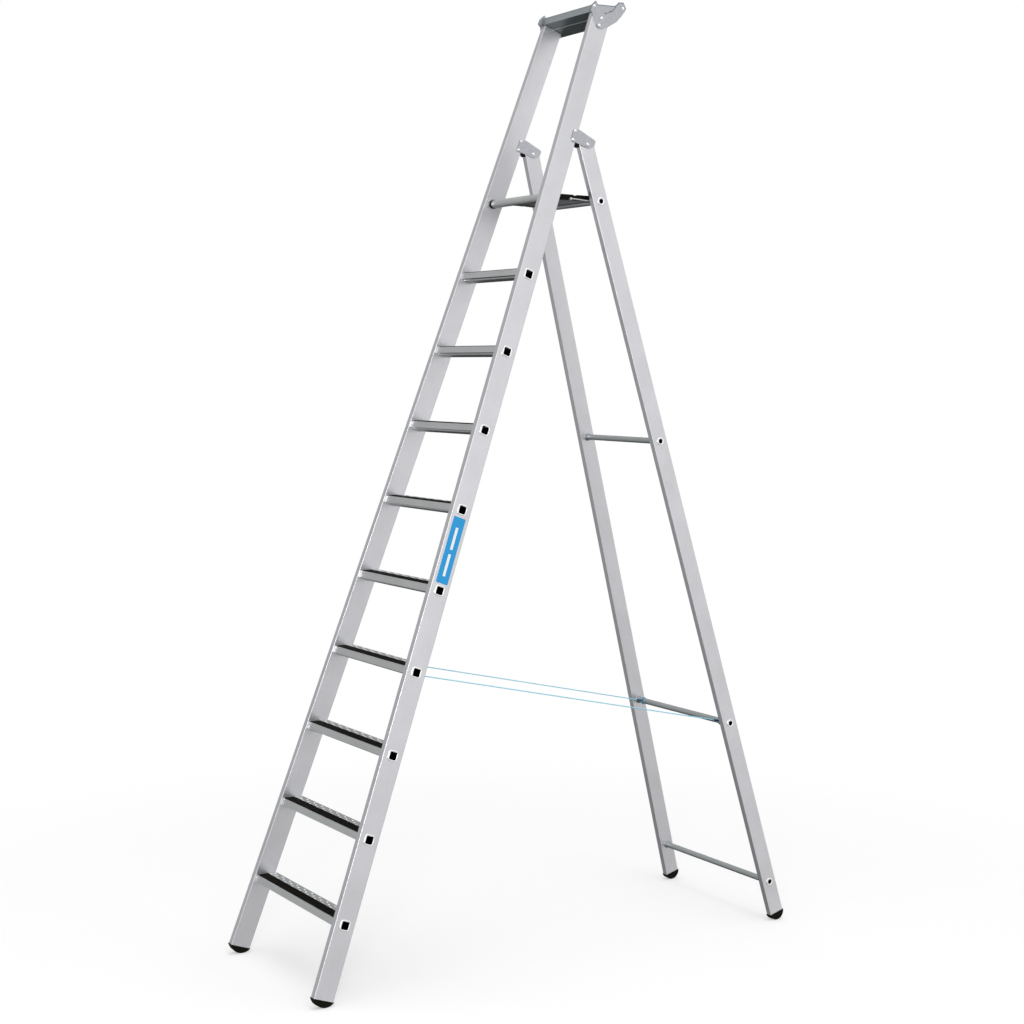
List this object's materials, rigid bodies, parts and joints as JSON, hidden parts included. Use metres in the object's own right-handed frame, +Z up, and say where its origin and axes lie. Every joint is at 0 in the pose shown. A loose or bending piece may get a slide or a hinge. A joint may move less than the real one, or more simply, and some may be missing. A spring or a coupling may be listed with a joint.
{
  "type": "platform stepladder",
  "caption": "Single-sided aluminium platform stepladder: tapering treaded front section, rear prop section, folding platform, handrail hoop, tool tray and spreader cords.",
  "frame": {"origin": "centre of the bounding box on the floor", "axes": "+X to the right of someone climbing, -Y the climbing side, +Y the rear prop section, +Z up"},
  "size_m": [0.6, 1.7491, 2.9733],
  "materials": {
    "aluminium": "satin extruded",
    "steel": "zinc plated sheet and wire",
    "black_plastic": "moulded",
    "grip_rubber": "ribbed strip",
    "label": "plain printed film",
    "cord": "braided synthetic cord",
    "cord_ferrule": "moulded sleeve"
  },
  "bodies": {
    "front_section": {"cord_anchors": "steel", "front_foot_left": "black_plastic", "front_foot_right": "black_plastic", "front_stile_left": "aluminium", "front_stile_right": "aluminium", "hinge_pin_left": "steel", "hinge_pin_right": "steel", "hinge_plate_left_inner": "steel", "hinge_plate_left_outer": "steel", "hinge_plate_right_inner": "steel", "hinge_plate_right_outer": "steel", "hinge_rivets": "steel", "platform_bush_left": "black_plastic", "platform_bush_right": "black_plastic", "spreader_cord_left": "cord", "spreader_cord_right": "cord", "stile_label": "label", "tool_tray": "aluminium", "tray_end_plate_left": "steel", "tray_end_plate_right": "steel", "tray_rivets": "steel", "tread_1": "aluminium", "tread_2": "aluminium", "tread_3": "aluminium", "tread_4": "aluminium", "tread_5": "aluminium", "tread_6": "aluminium", "tread_7": "aluminium", "tread_8": "aluminium", "tread_9": "aluminium", "tread_grip_1": "grip_rubber", "tread_grip_2": "grip_rubber", "tread_grip_3": "grip_rubber", "tread_grip_4": "grip_rubber", "tread_grip_5": "grip_rubber", "tread_grip_6": "grip_rubber", "tread_grip_7": "grip_rubber", "tread_grip_8": "grip_rubber", "tread_grip_9": "grip_rubber"},
    "rear_section": {"cord_loops": "cord_ferrule", "rear_foot_left": "black_plastic", "rear_foot_right": "black_plastic", "rear_rung_1": "aluminium", "rear_rung_2": "aluminium", "rear_rung_3": "aluminium", "rear_rung_4": "aluminium", "rear_stile_left": "aluminium", "rear_stile_right": "aluminium", "rear_top_cap_left": "black_plastic", "rear_top_cap_right": "black_plastic"},
    "platform": {"platform_deck": "aluminium", "platform_link_pins": "steel", "platform_nose": "aluminium", "platform_rear_rest": "black_plastic", "platform_side_cap_left": "black_plastic", "platform_side_cap_right": "black_plastic"},
    "link_left": {"platform_link_left": "steel"},
    "link_right": {"platform_link_right": "steel"}
  },
  "joints": [
    {"name": "fold", "type": "hinge", "parent": "front_section", "child": "rear_section", "pos_m": [0, 0.11896, 2.52102], "axis": [-1, 0, 0], "range_deg": [0, 35], "deforming": ["spreader_cord_left", "spreader_cord_right"]},
    {"name": "platform_tilt", "type": "hinge", "parent": "front_section", "child": "platform", "pos_m": [0, -0.02335, 2.3525], "axis": [1, 0, 0], "range_deg": [0, 57.1]},
    {"name": "link_left_swing", "type": "hinge", "parent": "rear_section", "child": "link_left", "pos_m": [0, 0.16819, 2.34988], "axis": [-1, 0, 0], "range_deg": [0, 31.8]},
    {"name": "link_right_swing", "type": "hinge", "parent": "rear_section", "child": "link_right", "pos_m": [0, 0.16819, 2.34988], "axis": [-1, 0, 0], "range_deg": [0, 31.8]}
  ],
  "couplings": [
    {"joint": "platform_tilt", "follows": "fold", "ratio": 1.6286},
    {"joint": "link_left_swing", "follows": "fold", "ratio": 0.9057},
    {"joint": "link_right_swing", "follows": "fold", "ratio": 0.9057}
  ]
}
